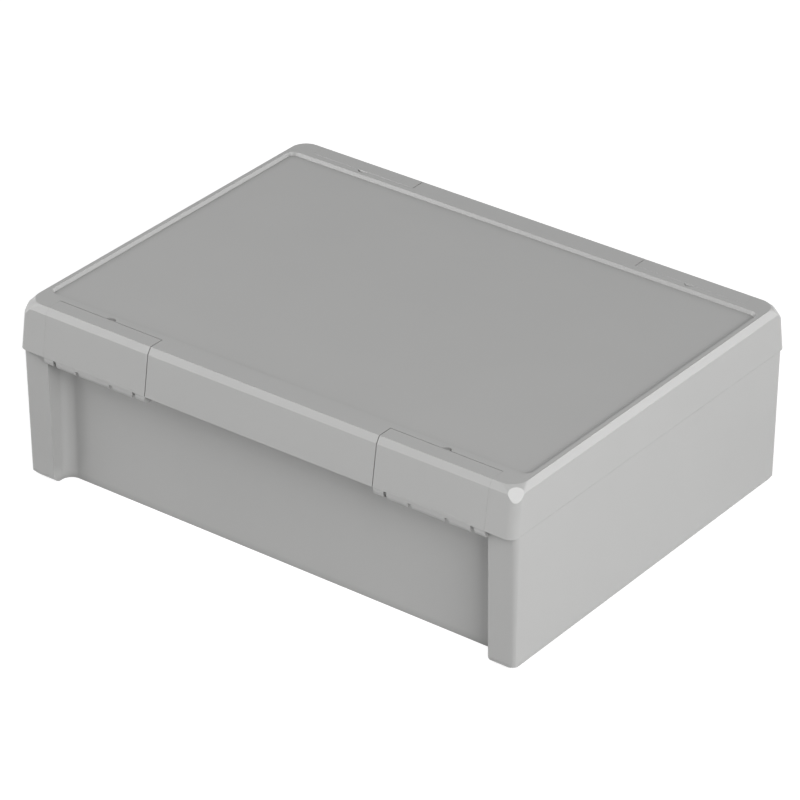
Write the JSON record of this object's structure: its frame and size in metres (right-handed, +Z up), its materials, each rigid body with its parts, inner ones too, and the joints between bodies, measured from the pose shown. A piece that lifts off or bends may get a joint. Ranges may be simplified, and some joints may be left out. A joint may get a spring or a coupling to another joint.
{
  "type": "plastic project box",
  "caption": "Rectangular plastic project box with a hinged lid, recessed panel, snap catches, rim seal and wall-fixing holes in recessed corner posts.",
  "frame": {"origin": "middle of the footprint, on the plane that the box stands on", "axes": "+X along the long side, -Y towards the opening side, +Z up out of the lid"},
  "size_m": [0.271, 0.2066, 0.0902],
  "materials": {
    "shell": "fine satin moulding, light neutral grey",
    "catch": "fine satin moulding, light neutral grey",
    "seal": "matt foamed seal, black"
  },
  "bodies": {
    "base": {"base": "shell"},
    "lid": {"lid": "shell", "gasket": "seal", "catch_rear_left": "catch", "catch_rear_right": "catch"},
    "catch_front_left": {"catch_front_left": "catch"},
    "catch_front_right": {"catch_front_right": "catch"}
  },
  "joints": [
    {"name": "lid_hinge", "type": "hinge", "parent": "base", "child": "lid", "pos_m": [0, 0.1004, 0.0659], "axis": [-1, 0, 0], "range_deg": [0, 105]},
    {"name": "catch_left_pivot", "type": "hinge", "parent": "lid", "child": "catch_front_left", "pos_m": [-0.09175, -0.0955, 0.0857], "axis": [-1, 0, 0], "range_deg": [0, 60]},
    {"name": "catch_right_pivot", "type": "hinge", "parent": "lid", "child": "catch_front_right", "pos_m": [0.09175, -0.0955, 0.0857], "axis": [-1, 0, 0], "range_deg": [0, 60]}
  ]
}
